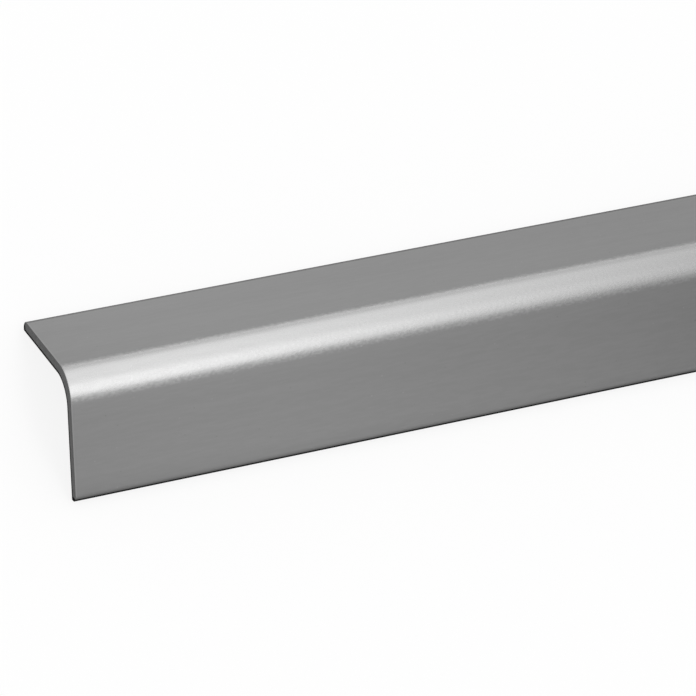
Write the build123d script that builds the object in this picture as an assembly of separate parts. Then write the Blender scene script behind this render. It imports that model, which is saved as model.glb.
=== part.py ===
from build123d import *

import os
from math import atan2, degrees

# A length of small equal angle section with a thick, rounded heel, cut square at both ends.
# It lies heel up on its two toes, as a ridge, with its length along X. The back leg slopes down to
# +Y and the front leg to -Y. The origin is on the floor under the middle of the piece.
# Millimetres, +Z up.

LENGTH = 1000.0
LEG_BACK = 25.0  # each leg is measured from the outer face of the other one
LEG_FRONT = 25.0
WALL = 2.3
HEEL_OUTER_RADIUS = 5.5
HEEL_INNER_RADIUS = 4.5  # more than a plain bend's, which makes the heel thicker than the legs
TOE_OUTER_RADIUS = 2.0  # the toes are well rounded on the outer side
TOE_INNER_RADIUS = 0.25  # and almost sharp on the inner side
TOE_FLAT = 0.05  # the least flat that is left between the two toe radii, whatever the wall
END_BREAK = 0.05  # the chamfer that takes the burr off a sawn end and leaves it crisp


def corner_at(sketch, x, y):
    """The corner of the section at a point of the section's own axes."""
    return sketch.vertices().sort_by_distance(Vector(x, y))[0]


def square_section():
    """The section standing on its front leg: outer corner at the origin, back leg along +X, front
    leg along -Y, every corner rounded to its own radius."""
    back_leg = Rectangle(LEG_BACK, WALL, align=(Align.MIN, Align.MAX))
    front_leg = Rectangle(WALL, LEG_FRONT, align=(Align.MIN, Align.MAX))
    sharp = back_leg + front_leg
    toe_outer_radius = min(TOE_OUTER_RADIUS, WALL - TOE_INNER_RADIUS - TOE_FLAT)
    radii = {
        (0, 0): HEEL_OUTER_RADIUS,
        (WALL, -WALL): HEEL_INNER_RADIUS,
        (LEG_BACK, 0): toe_outer_radius,
        (LEG_BACK, -WALL): TOE_INNER_RADIUS,
        (0, -LEG_FRONT): toe_outer_radius,
        (WALL, -LEG_FRONT): TOE_INNER_RADIUS,
    }
    rounded = sharp
    for (x, y), radius in radii.items():
        rounded = fillet(corner_at(rounded, x, y), radius)
    return rounded


def lying_section():
    """The section turned so that both toes touch the floor, and centred over the origin."""
    lay_angle = atan2(LEG_FRONT - WALL, LEG_BACK - WALL)
    turned = Rot(0, 0, -degrees(lay_angle)) * square_section()
    box = turned.bounding_box()
    return Pos(-box.center().X, -box.min.Y) * turned


def angle_section():
    """The section carried along the whole length, with the burr taken off both ends."""
    start = Plane.YZ.offset(-LENGTH / 2)
    bar = extrude(start * lying_section(), LENGTH)
    ends = bar.faces().filter_by(Axis.X)
    return chamfer(ends.edges(), END_BREAK)


os.makedirs("parts", exist_ok=True)
export_step(angle_section(), "parts/angle_section.step")
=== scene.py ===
"""The looks of a length of small equal metal angle: satin metal with a fine grain along its length,
a burnished heel lightened by a painted highlight, dull toes and sawn ends darkened by painted shade,
lying heel up on a pale floor under a soft light."""

import math

import bmesh
import bpy
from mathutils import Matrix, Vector


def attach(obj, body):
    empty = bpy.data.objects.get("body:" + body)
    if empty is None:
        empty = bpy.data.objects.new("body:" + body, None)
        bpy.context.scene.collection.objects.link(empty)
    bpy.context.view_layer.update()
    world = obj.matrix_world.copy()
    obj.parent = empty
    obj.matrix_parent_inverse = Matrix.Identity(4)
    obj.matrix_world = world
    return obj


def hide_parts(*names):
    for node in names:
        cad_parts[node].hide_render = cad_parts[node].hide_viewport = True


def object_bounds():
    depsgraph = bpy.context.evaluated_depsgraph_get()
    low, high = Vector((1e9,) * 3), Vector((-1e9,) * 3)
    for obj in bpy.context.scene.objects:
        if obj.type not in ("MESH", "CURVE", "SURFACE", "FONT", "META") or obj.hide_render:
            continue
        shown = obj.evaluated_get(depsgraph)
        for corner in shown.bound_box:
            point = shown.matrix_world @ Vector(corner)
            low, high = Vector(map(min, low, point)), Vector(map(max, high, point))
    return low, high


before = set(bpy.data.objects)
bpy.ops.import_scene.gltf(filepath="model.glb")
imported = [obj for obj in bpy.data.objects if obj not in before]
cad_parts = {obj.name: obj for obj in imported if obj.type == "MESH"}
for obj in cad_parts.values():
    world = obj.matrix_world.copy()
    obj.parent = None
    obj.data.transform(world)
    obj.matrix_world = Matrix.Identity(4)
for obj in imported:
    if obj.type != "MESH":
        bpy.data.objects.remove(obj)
cad_low, cad_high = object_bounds()

# The section, in metres. Its own axes are p, down the back leg, and q, down the front leg, both from
# the point where the outer faces would meet if the heel were sharp.
MM = 0.001
LEG = 25 * MM
WALL = 2.3 * MM
HEEL_OUTER_RADIUS = 5.5 * MM
HEEL_INNER_RADIUS = 4.5 * MM
TOE_OUTER_RADIUS = 2 * MM
TOE_INNER_RADIUS = 0.25 * MM
END_BREAK = 0.05 * MM
HALF_LENGTH = cad_high.x
CORNER_HEIGHT = (LEG + WALL) * math.sqrt(0.5) - TOE_INNER_RADIUS * (math.sqrt(2) - 1)

STATION_GAP = 5 * MM  # between the rings of the mesh
HEEL_STEPS = 28
TOE_OUTER_STEPS = 14
TOE_INNER_STEPS = 5
LEG_STEPS = 6

# How far from the sharp corner, along either leg, each change of finish or painted light starts and
# ends. The burnish and its painted highlight end where the heel does.
BURNISH_AND_SHEEN_FULLY = 3.8 * MM
# Over the next two spans the toes' grey is darkened to near black as painted shade; the second,
# thinner one is a painted dark outline.
TOE_SHADE = (22.9 * MM, 24.8 * MM)
TOE_BLACK = (23.92 * MM, 24.15 * MM)
TOE_SCALE = (22.9 * MM, 23.6 * MM)
BACK_TOE_LEAD = 0.3 * MM  # the back toe darkens this much sooner
BURNISH_AND_SHEEN_WANDER = 0.25 * MM  # how far the pits shift the edge of the burnish and its painted highlight
BURNISH_AND_SHEEN_DEPTH = (1.7 * MM, 2.1 * MM)  # how far under the outer face the burnish and its painted highlight give out
RUBBED_AND_GLINT_END = 0.25 * MM  # how far from a sawn end the legs' surface is rubbed and lightened by a painted glint
SAWN_RIM = (0.39 * MM, 0.65 * MM)  # how far from the inner surface an end's black line of painted shade gives out

LEG_TONE = 0.235
# The heel's lighter grey: partly burnish, partly a painted highlight.
BURNISH_AND_SHEEN_TONE = 0.375
# A thin lighter line along the ends' edges: partly rubbed wear, partly a painted glint.
RUBBED_AND_GLINT_TONE = 0.285
# Near black: painted shade on the toes and along the ends' inner edges.
PAINTED_SHADE_TONE = 0.01
# The sawn ends' dark grey is painted shade.
SAWN_SHADE_TONE = 0.114
LEG_ROUGHNESS = 0.31
BURNISHED_ROUGHNESS = 0.27
SCALE_ROUGHNESS = 0.6
SAWN_ROUGHNESS = 0.45
SAWN_METALLIC = 0.25

# The noises: how many cells of each go into a metre along X, Y and Z, and how much it changes.
GRAIN_CELLS = (300, 1800, 1800)
GRAIN_TONE = 0.0045
BURNISHED_GRAIN_TONE = 0.001
GRAIN_ROUGHNESS = 0.01
STREAK_CELLS = (7, 500, 500)
STREAK_TONE = 0.003
CLOUD_CELLS = (10, 16, 0)
CLOUDS_START = (-3.77, 4.85, -0.29)
CLOUD_SHARE = 0.33  # of the tone
PIT_CELLS = (1500, 2400, 2400)
PIT_DEPTH = 0.007 * MM
SAW_MARK_CELLS = (300, 500, 6000)
SAW_MARK_TONE = 0.02
SAW_MARK_ROUGHNESS = 0.15
SAW_MARK_DEPTH = 0.02 * MM
SAW_MARK_STRENGTH = 0.3
SPECK_CELL = 2 * MM
SPECK_RADIUS = 0.2 * MM
SPECK_TONE = 0.04

BODY_SHARE = 0.8  # of the bake map's height; the rest holds the two sawn ends
MAP_EDGE = 0.004

# The light round the bar, as stops of (degrees, strength). The degrees go from the horizon behind the
# bar, over the top, to the horizon in front of it.
PANEL_LIGHT = ((0, 0), (17, 0), (36, 1.3), (98, 2), (164, 1.1), (169, 0), (180, 0))
STRIP_LIGHT = ((0, 0), (78, 0), (103, 1.1), (120, 1.6), (140, 0), (180, 0))
ROOM_LIGHT = ((0, 1.8), (8, 1.8), (18, 1), (90, 0.45), (140, 0), (168, 0.55), (180, 0))
SIDE_LIGHT = 0.75
WALL_LIGHT = 1.0
# Where each light fades, in degrees towards +X from straight across the bar.
PANEL_RIGHT = (13, 37)
STRIP_RIGHT = (17, 20)
SIDE_LEFT = (0, 12)
SIDE_RIGHT = (33, 42)
WALL_TOP = (4.5, 7)  # where the white wall fades, in degrees above the horizon

FLOOR_HALF_WIDTH = 40.0
FLOOR_TONE = 0.95
FLOOR_ROUGHNESS = 0.9
FLOOR_GLOW = 0.85  # how much of the floor's white, as seen and as mirrored, takes no shadow

# The camera looks down on the left end of the bar.
CAMERA_AT = (-0.67635, -0.18346, 0.61215)
CAMERA_TURN = (21.1208, -15.4310, -17.1376)  # degrees
CAMERA_LENS = 195.23
SENSOR_WIDTH = 36.0
CAMERA_REACH = (0.05, 100.0)


# ---------------------------------------------------------------- the mesh


def arc(p, q, radius, start, end, steps):
    """Points of an arc about (p, q), its angles in degrees from +p towards +q."""
    angles = [math.radians(start + (end - start) * i / steps) for i in range(steps + 1)]
    return [(p + radius * math.cos(a), q + radius * math.sin(a)) for a in angles]


def flat(start, end, steps):
    """The points between two arcs, without the ends, so that a leg isn't one wide strip."""
    shares = [i / steps for i in range(1, steps)]
    return [tuple(a + (b - a) * t for a, b in zip(start, end)) for t in shares]


def outline(inset):
    """The closed section as (p, q) points, drawn in by inset. It starts under the front leg, where
    the inner fillet begins, and goes round by the back toe and over the heel."""
    heel_out = HEEL_OUTER_RADIUS
    heel_in = WALL + HEEL_INNER_RADIUS
    toe_out = LEG - TOE_OUTER_RADIUS
    toe_in = LEG - TOE_INNER_RADIUS
    toe_in_depth = WALL - TOE_INNER_RADIUS
    runs = [
        arc(heel_in, heel_in, HEEL_INNER_RADIUS + inset, 180, 270, HEEL_STEPS),
        arc(toe_in, toe_in_depth, TOE_INNER_RADIUS - inset, 90, 0, TOE_INNER_STEPS),
        arc(toe_out, TOE_OUTER_RADIUS, TOE_OUTER_RADIUS - inset, 0, -90, TOE_OUTER_STEPS),
        arc(heel_out, heel_out, HEEL_OUTER_RADIUS - inset, 270, 180, HEEL_STEPS),
        arc(TOE_OUTER_RADIUS, toe_out, TOE_OUTER_RADIUS - inset, 180, 90, TOE_OUTER_STEPS),
        arc(toe_in_depth, toe_in, TOE_INNER_RADIUS - inset, 90, 0, TOE_INNER_STEPS),
    ]
    leg_follows = (0, 2, 3, 5)
    points = []
    for i, run in enumerate(runs):
        points += run
        if i in leg_follows:
            points += flat(run[-1], runs[(i + 1) % len(runs)][0], LEG_STEPS)
    return points


def lying(x, p, q):
    """A section point in the row frame: heel up, the legs at 45 degrees."""
    half_root = math.sqrt(0.5)
    return Vector((x, (p - q) * half_root, CORNER_HEIGHT - (p + q) * half_root))


def stations():
    """Where along X the full section stands, from one end break to the other."""
    reach = HALF_LENGTH - END_BREAK
    count = round(2 * reach / STATION_GAP)
    return [-reach + 2 * reach * i / count for i in range(count + 1)]


def ring(mesh, x, points):
    """The section's corners at one place along the bar."""
    return [mesh.verts.new(lying(x, p, q)) for p, q in points]


def sleeve(mesh, ring_a, ring_b):
    """The strip of faces between two rings."""
    n = len(ring_a)
    return [
        mesh.faces.new((ring_a[j], ring_b[j], ring_b[(j + 1) % n], ring_a[(j + 1) % n]))
        for j in range(n)
    ]


def girths(points):
    """How far each point lies along the outline, with the whole way round at the end."""
    closed = points + points[:1]
    steps = [math.dist(a, b) for a, b in zip(closed, closed[1:])]
    return [sum(steps[:j]) for j in range(len(closed))]


def lay_body_map(layer, strip, girth, u_start, u_end):
    """A strip of the body on the bake map: along the bar to the right, round the section upwards."""
    height = BODY_SHARE - 2 * MAP_EDGE
    for j, face in enumerate(strip):
        low, high = (MAP_EDGE + height * girth[k] / girth[-1] for k in (j, j + 1))
        places = ((u_start, low), (u_end, low), (u_end, high), (u_start, high))
        for loop, place in zip(face.loops, places):
            loop[layer].uv = place


def lay_end_map(layer, faces, index):
    """A sawn end on the bake map, as seen along the bar, above the body and in its own place."""
    width, height = cad_high.y - cad_low.y, cad_high.z - cad_low.z
    scale = (1 - BODY_SHARE - 2 * MAP_EDGE) / height
    left = MAP_EDGE + index * (width * scale + 2 * MAP_EDGE)
    for face in faces:
        for loop in face.loops:
            place = loop.vert.co
            loop[layer].uv = (
                left + (place.y - cad_low.y) * scale,
                BODY_SHARE + MAP_EDGE + (place.z - cad_low.z) * scale,
            )


def make_body(mesh, layer, points):
    """The bar between its end breaks. Gives its first and its last ring."""
    girth = girths(points)
    rings = [ring(mesh, x, points) for x in stations()]
    for i, (ring_a, ring_b) in enumerate(zip(rings, rings[1:])):
        strip = sleeve(mesh, ring_a, ring_b)
        u_start, u_end = (MAP_EDGE + (1 - 2 * MAP_EDGE) * k / (len(rings) - 1) for k in (i, i + 1))
        lay_body_map(layer, strip, girth, u_start, u_end)
        for face in strip:
            face.smooth = True
    return rings[0], rings[-1]


def make_end(mesh, layer, points, side, last, index):
    """The end break and the sawn face at one end of the bar: side is -1 or 1 along X."""
    rim = ring(mesh, side * HALF_LENGTH, points)
    pair = (rim, last) if side < 0 else (last, rim)
    bevel = sleeve(mesh, *pair)
    cap = mesh.faces.new(rim)
    cap.material_index = 1
    lay_end_map(layer, (*bevel, cap), index)
    for edge in {e for face in bevel for e in face.edges}:
        edge.smooth = all(f in bevel for f in edge.link_faces)


def make_bar(body_material, end_material):
    mesh = bmesh.new()
    layer = mesh.loops.layers.uv.new("OFBake")
    first, last = make_body(mesh, layer, outline(0))
    drawn_in = outline(END_BREAK)
    make_end(mesh, layer, drawn_in, -1, first, 0)
    make_end(mesh, layer, drawn_in, 1, last, 1)
    bmesh.ops.recalc_face_normals(mesh, faces=mesh.faces)

    data = bpy.data.meshes.new("angle_bar")
    mesh.to_mesh(data)
    mesh.free()
    data.materials.append(body_material)
    data.materials.append(end_material)
    bar = bpy.data.objects.new("angle_bar", data)
    bpy.context.scene.collection.objects.link(bar)
    return bar


# ---------------------------------------------------------------- materials


class Nodes:
    """A node tree, with short calls for the nodes used here."""

    def __init__(self, tree):
        self.tree = tree

    def add(self, kind, **settings):
        node = self.tree.nodes.new(kind)
        for name, value in settings.items():
            setattr(node, name, value)
        return node

    def put(self, socket, value):
        """Links a socket to another one, or gives it a plain value."""
        if isinstance(value, bpy.types.NodeSocket):
            self.tree.links.new(value, socket)
        else:
            socket.default_value = value

    def maths(self, operation, a, b=0.0, c=0.0):
        node = self.add("ShaderNodeMath", operation=operation)
        for socket, value in zip(node.inputs, (a, b, c)):
            self.put(socket, value)
        return node.outputs[0]

    def parts(self, vector):
        """The X, Y and Z of a vector."""
        node = self.add("ShaderNodeSeparateXYZ")
        self.put(node.inputs[0], vector)
        return node.outputs

    def noise(self, place, cells, detail, start=(0, 0, 0)):
        """Noise from 0 to 1, mostly near the middle, with so many cells a metre along each axis."""
        stretched = self.add("ShaderNodeMapping")
        self.put(stretched.inputs["Vector"], place)
        stretched.inputs["Scale"].default_value = cells
        stretched.inputs["Location"].default_value = start
        node = self.add("ShaderNodeTexNoise")
        self.put(node.inputs["Vector"], stretched.outputs[0])
        node.inputs["Scale"].default_value = 1.0
        node.inputs["Detail"].default_value = detail
        return node.outputs["Fac"]

    def between(self, value, low, high, to_low=0.0, to_high=1.0):
        """Value taken smoothly from low..high to to_low..to_high, and no further."""
        node = self.add("ShaderNodeMapRange", interpolation_type="SMOOTHSTEP")
        for socket, entry in zip(node.inputs, (value, low, high, to_low, to_high)):
            self.put(socket, entry)
        return node.outputs[0]

    def spread(self, noise):
        """Noise spread out to -1..1."""
        return self.between(noise, 0.3, 0.7, -1.0)

    def mixed(self, factor, a, b):
        """The number a where factor is 0 and b where it is 1."""
        node = self.add("ShaderNodeMix", data_type="FLOAT")
        for socket, value in zip(node.inputs, (factor, None, a, b)):
            if value is not None:
                self.put(socket, value)
        return node.outputs[0]

    def profile(self, angle, stops):
        """A strength that goes straight from stop to stop, each an angle in degrees and a strength."""
        top = max(strength for _, strength in stops)
        node = self.add("ShaderNodeFloatCurve")
        self.put(node.inputs["Value"], self.maths("DIVIDE", angle, math.pi))
        curve = node.mapping.curves[0]
        while len(curve.points) < len(stops):
            curve.points.new(0.5, 0.5)
        for point, (degrees, strength) in zip(curve.points, stops):
            point.location = (degrees / 180, strength / top)
            point.handle_type = "VECTOR"
        node.mapping.update()
        return self.maths("MULTIPLY", node.outputs[0], top)

    def grey(self, value):
        node = self.add("ShaderNodeCombineColor")
        for socket in node.inputs:
            self.put(socket, value)
        return node.outputs[0]


def new_material(name):
    """A material, its nodes, its one shader, whose specular level is 0, and the output it goes to."""
    material = bpy.data.materials.new(name)
    material.use_nodes = True
    material.node_tree.nodes.clear()
    nodes = Nodes(material.node_tree)
    shader = nodes.add("ShaderNodeBsdfPrincipled")
    shader.inputs["Specular IOR Level"].default_value = 0.0
    output = nodes.add("ShaderNodeOutputMaterial")
    nodes.put(output.inputs["Surface"], shader.outputs[0])
    return material, nodes, shader, output


def section_place(nodes):
    """The point itself, its place along the bar, how far along its leg it lies from the sharp
    corner, how far under the leg's outer face, and 1 on the back leg or 0 on the front one."""
    place = nodes.add("ShaderNodeTexCoord").outputs["Object"]
    x, y, z = nodes.parts(place)
    drop = nodes.maths("SUBTRACT", CORNER_HEIGHT, z)
    side = nodes.maths("ABSOLUTE", y)
    half_root = math.sqrt(0.5)
    along = nodes.maths("MULTIPLY", nodes.maths("ADD", drop, side), half_root)
    under = nodes.maths("MULTIPLY", nodes.maths("SUBTRACT", drop, side), half_root)
    return place, x, along, under, nodes.maths("GREATER_THAN", y, 0.0)


def bumped(nodes, shader, height, depth, strength=1.0):
    bump = nodes.add("ShaderNodeBump")
    bump.inputs["Strength"].default_value = strength
    bump.inputs["Distance"].default_value = depth
    nodes.put(bump.inputs["Height"], height)
    nodes.put(shader.inputs["Normal"], bump.outputs[0])


def specks(nodes, place):
    """Sparse tiny marks, from -1 where one is dark to 1 where one is bright."""
    node = nodes.add("ShaderNodeTexVoronoi")
    nodes.put(node.inputs["Vector"], place)
    node.inputs["Scale"].default_value = 1 / SPECK_CELL
    reach = SPECK_RADIUS / SPECK_CELL
    mark = nodes.between(node.outputs["Distance"], 0.5 * reach, reach, 1.0, 0.0)
    split = nodes.add("ShaderNodeSeparateColor")
    nodes.put(split.inputs[0], node.outputs["Color"])
    return nodes.maths("MULTIPLY", mark, nodes.maths("MULTIPLY_ADD", split.outputs[0], 2.0, -1.0))


def mill_tone(nodes, place, burnish_and_sheen, grain):
    """The grey of the metal before its ends and toes, from its clouds, streaks, grain and specks,
    lighter on the heel by burnish and a painted highlight.
    """
    clouds = nodes.noise(place, CLOUD_CELLS, 0, CLOUDS_START)
    cloudiness = nodes.maths("MULTIPLY_ADD", clouds, CLOUD_SHARE, 1 - 0.5 * CLOUD_SHARE)
    # lighter on the heel: burnish and a painted highlight
    tone = nodes.maths("MULTIPLY", nodes.mixed(burnish_and_sheen, LEG_TONE, BURNISH_AND_SHEEN_TONE), cloudiness)
    streaks = nodes.spread(nodes.noise(place, STREAK_CELLS, 2))
    tone = nodes.maths("MULTIPLY_ADD", streaks, STREAK_TONE, tone)
    grain_tone = nodes.mixed(burnish_and_sheen, GRAIN_TONE, BURNISHED_GRAIN_TONE)
    tone = nodes.maths("MULTIPLY_ADD", grain, grain_tone, tone)
    return nodes.maths("MULTIPLY_ADD", specks(nodes, place), SPECK_TONE, tone)


def satin_metal():
    """Mill finish: a fine grain with faint streaks along the bar, a burnished heel lightened by a
    painted highlight, rubbed edges at the ends lightened by a painted glint, and toes darkened to
    black by painted shade, dull and unmetallic."""
    material, nodes, shader, _ = new_material("satin_metal")
    place, x, along, under, back = section_place(nodes)
    grain = nodes.spread(nodes.noise(place, GRAIN_CELLS, 1))
    pits = nodes.noise(place, PIT_CELLS, 1)

    wander = nodes.maths("MULTIPLY_ADD", nodes.spread(pits), BURNISH_AND_SHEEN_WANDER, along)
    near_corner = nodes.between(wander, BURNISH_AND_SHEEN_FULLY, HEEL_OUTER_RADIUS, 1.0, 0.0)
    outer_side = nodes.between(under, *BURNISH_AND_SHEEN_DEPTH, 1.0, 0.0)
    # the heel's burnish, which also carries a painted highlight
    burnish_and_sheen = nodes.maths("MULTIPLY", near_corner, outer_side)
    # rubbed edges at the ends, lightened partly as a painted glint
    rubbed_and_glint = nodes.between(nodes.maths("ABSOLUTE", x), HALF_LENGTH - RUBBED_AND_GLINT_END, HALF_LENGTH)
    toe = nodes.maths("MULTIPLY_ADD", back, BACK_TOE_LEAD, along)
    scale = nodes.between(toe, *TOE_SCALE)

    tone = nodes.mixed(rubbed_and_glint, mill_tone(nodes, place, burnish_and_sheen, grain), RUBBED_AND_GLINT_TONE)
    # painted shade: the toes darken to near black
    for darkening in (TOE_SHADE, TOE_BLACK):
        tone = nodes.mixed(nodes.between(toe, *darkening), tone, PAINTED_SHADE_TONE)
    rough = nodes.mixed(burnish_and_sheen, LEG_ROUGHNESS, BURNISHED_ROUGHNESS)
    rough = nodes.maths("MULTIPLY_ADD", grain, GRAIN_ROUGHNESS, rough)
    nodes.put(shader.inputs["Base Color"], nodes.grey(tone))
    nodes.put(shader.inputs["Metallic"], nodes.maths("SUBTRACT", 1.0, scale))
    nodes.put(shader.inputs["Roughness"], nodes.mixed(scale, rough, SCALE_ROUGHNESS))
    bumped(nodes, shader, pits, PIT_DEPTH)
    return material


def inner_gap(nodes, along, under):
    """How far a point of the section lies from the inner surface."""
    centre = WALL + HEEL_INNER_RADIUS
    across = nodes.add("ShaderNodeCombineXYZ")
    for socket, value in zip(across.inputs, (along, under)):
        nodes.put(socket, nodes.maths("MAXIMUM", nodes.maths("SUBTRACT", centre, value), 0.0))
    length = nodes.add("ShaderNodeVectorMath", operation="LENGTH")
    nodes.put(length.inputs[0], across.outputs[0])
    return nodes.maths("SUBTRACT", length.outputs["Value"], HEEL_INNER_RADIUS)


def sawn_metal():
    """The cut ends: dull and darkened by painted shade, with fine saw marks and a black line of
    painted shade along the inner edge.
    """
    material, nodes, shader, _ = new_material("sawn_metal")
    place, _, along, under, _ = section_place(nodes)
    cut = nodes.noise(place, SAW_MARK_CELLS, 3)
    # a black line along the inner edge and the toe tips: painted shade
    rim = nodes.between(inner_gap(nodes, along, under), *SAWN_RIM, 1.0, 0.0)
    rim = nodes.maths("MAXIMUM", rim, nodes.between(along, *TOE_BLACK))
    tone = nodes.maths("MULTIPLY_ADD", nodes.spread(cut), SAW_MARK_TONE, SAWN_SHADE_TONE)
    rough = nodes.maths("MULTIPLY_ADD", cut, SAW_MARK_ROUGHNESS, SAWN_ROUGHNESS)
    nodes.put(shader.inputs["Base Color"], nodes.grey(nodes.mixed(rim, tone, PAINTED_SHADE_TONE)))
    nodes.put(shader.inputs["Metallic"], nodes.mixed(rim, SAWN_METALLIC, 0.0))
    nodes.put(shader.inputs["Roughness"], rough)
    bumped(nodes, shader, cut, SAW_MARK_DEPTH, SAW_MARK_STRENGTH)
    return material


# ---------------------------------------------------------------- floor, light and camera


def floor_material():
    """Pale and plain. Part of what the camera sees of it, and of what metal mirrors, is plain white,
    so that the shadow on it stays soft and light."""
    material, nodes, shader, output = new_material("pale_floor")
    shader.inputs["Base Color"].default_value = (FLOOR_TONE, FLOOR_TONE, FLOOR_TONE, 1)
    shader.inputs["Roughness"].default_value = FLOOR_ROUGHNESS
    white = nodes.add("ShaderNodeEmission")
    white.inputs["Strength"].default_value = 1.0
    rays = nodes.add("ShaderNodeLightPath")
    seen = rays.outputs["Is Camera Ray"]
    for kind in ("Is Glossy Ray", "Is Transmission Ray"):
        seen = nodes.maths("MAXIMUM", seen, rays.outputs[kind])
    mix = nodes.add("ShaderNodeMixShader")
    nodes.put(mix.inputs[0], nodes.maths("MULTIPLY", seen, FLOOR_GLOW))
    nodes.put(mix.inputs[1], shader.outputs[0])
    nodes.put(mix.inputs[2], white.outputs[0])
    nodes.put(output.inputs["Surface"], mix.outputs[0])
    return material


def make_floor():
    half = FLOOR_HALF_WIDTH
    data = bpy.data.meshes.new("floor")
    corners = [(-half, -half, 0), (half, -half, 0), (half, half, 0), (-half, half, 0)]
    data.from_pydata(corners, [], [(0, 1, 2, 3)])
    data.materials.append(floor_material())
    floor = bpy.data.objects.new("floor", data)
    bpy.context.scene.collection.objects.link(floor)


def sines(degrees):
    return [math.sin(math.radians(a)) for a in degrees]


def light_room():
    """A studio: a wide soft panel and a brighter strip over the bar in a dim room, all three drawn by
    their strength at each angle about the bar, between two plain sides. A low white wall goes all
    round."""
    world = bpy.data.worlds.new("studio")
    world.use_nodes = True
    world.node_tree.nodes.clear()
    nodes = Nodes(world.node_tree)
    bpy.context.scene.world = world
    x, y, z = nodes.parts(nodes.add("ShaderNodeTexCoord").outputs["Generated"])
    height = nodes.maths("ARCTAN2", z, y)  # from +Y, over the top, to -Y
    strength = nodes.profile(height, ROOM_LIGHT)
    for stops, right in ((PANEL_LIGHT, PANEL_RIGHT), (STRIP_LIGHT, STRIP_RIGHT)):
        width = nodes.between(x, *sines(right), 1.0, 0.0)
        strength = nodes.maths("MULTIPLY_ADD", nodes.profile(height, stops), width, strength)
    to_left = nodes.between(x, *sines(SIDE_LEFT), 1.0, 0.0)
    to_right = nodes.between(x, *sines(SIDE_RIGHT))
    strength = nodes.mixed(nodes.maths("MAXIMUM", to_left, to_right), strength, SIDE_LIGHT)
    in_wall = nodes.between(z, *sines(WALL_TOP), 1.0, 0.0)
    strength = nodes.mixed(in_wall, strength, WALL_LIGHT)
    background = nodes.add("ShaderNodeBackground")
    background.inputs["Color"].default_value = (1, 1, 1, 1)
    nodes.put(background.inputs["Strength"], strength)
    output = nodes.add("ShaderNodeOutputWorld")
    nodes.put(output.inputs["Surface"], background.outputs[0])


def place_camera():
    data = bpy.data.cameras.new("camera")
    data.lens = CAMERA_LENS
    data.sensor_width = SENSOR_WIDTH
    data.clip_start, data.clip_end = CAMERA_REACH
    camera = bpy.data.objects.new("camera", data)
    camera.location = CAMERA_AT
    camera.rotation_euler = [math.radians(a) for a in CAMERA_TURN]
    bpy.context.scene.collection.objects.link(camera)
    bpy.context.scene.camera = camera


place_camera()
bar = make_bar(satin_metal(), sawn_metal())
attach(bar, "root")
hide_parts("angle_section")
make_floor()
light_room()
bpy.context.scene.view_settings.view_transform = "Standard"
